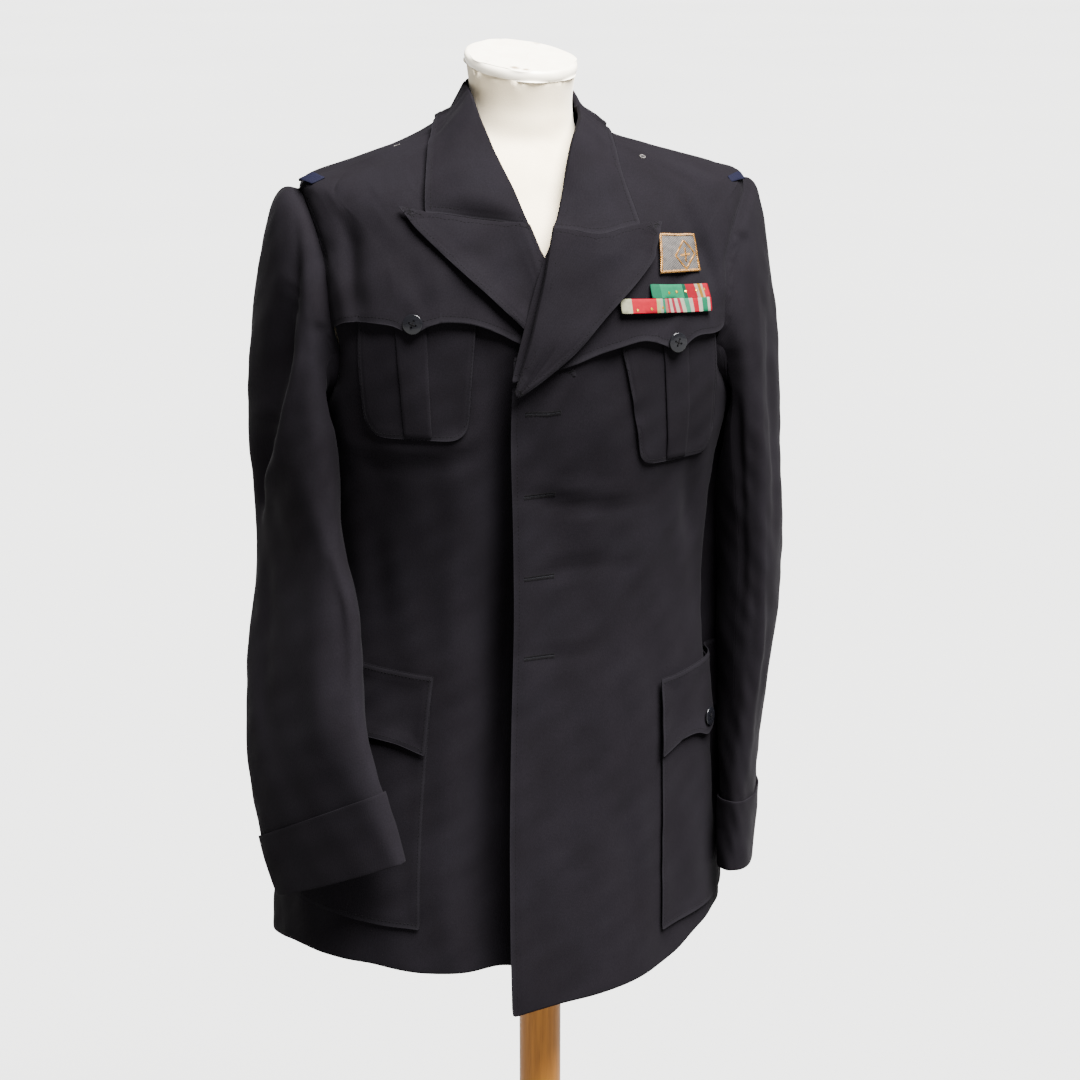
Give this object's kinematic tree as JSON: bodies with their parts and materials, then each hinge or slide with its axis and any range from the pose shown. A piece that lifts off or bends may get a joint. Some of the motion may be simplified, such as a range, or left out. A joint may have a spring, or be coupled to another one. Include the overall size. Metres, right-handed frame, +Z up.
{
  "type": "uniform jacket worn on a limbless dress form with a pole stand",
  "caption": "Single-breasted uniform jacket with peaked lapels, chest and flapped lower pockets and turned-back cuffs, on a cream dress form with a wooden pole and round base",
  "frame": {"origin": "centre of the underside of the stand's round base, on the pole's axis", "axes": "+Z up, the jacket's front faces -Y, +X is towards the wearer's left"},
  "size_m": [0.5106, 0.3477, 1.5336],
  "materials": {
    "wool": "navy-black fine worsted wool, soft and matt",
    "button": "black four-hole buttons, polished",
    "loop_ribbon": "navy grosgrain ribbon",
    "badge_thread": "silver and gold embroidery thread on backing cloth",
    "service_ribbon": "ribbed woven ribbon in red, white, green and blue stripes",
    "form_cover": "cream stretched cover, matt",
    "cap": "off-white neck cap, lightly scuffed",
    "wood": "honey-coloured varnished beech"
  },
  "bodies": {
    "root": {"front_right": "wool", "front_left": "wool", "back_right": "wool", "back_left": "wool", "yoke_right": "wool", "yoke_left": "wool", "lapel_right": "wool", "lapel_left": "wool", "collar": "wool", "sleeve_upper_right": "wool", "sleeve_under_right": "wool", "sleeve_upper_left": "wool", "sleeve_under_left": "wool", "cuff_right": "wool", "cuff_left": "wool", "chest_pocket_right": "wool", "chest_pocket_left": "wool", "chest_pleat_right": "wool", "chest_pleat_left": "wool", "lower_pocket_right": "wool", "lower_pocket_left": "wool", "lower_flap_right": "wool", "lower_flap_left": "wool", "chest_button_right": "button", "chest_button_left": "button", "lower_button_right": "button", "lower_button_left": "button", "shoulder_loop_right": "loop_ribbon", "shoulder_loop_left": "loop_ribbon", "badge": "badge_thread", "ribbons_upper": "service_ribbon", "ribbons_lower": "service_ribbon", "dress_form": "form_cover", "neck_cap": "cap", "pole": "wood", "base": "wood"}
  },
  "joints": []
}
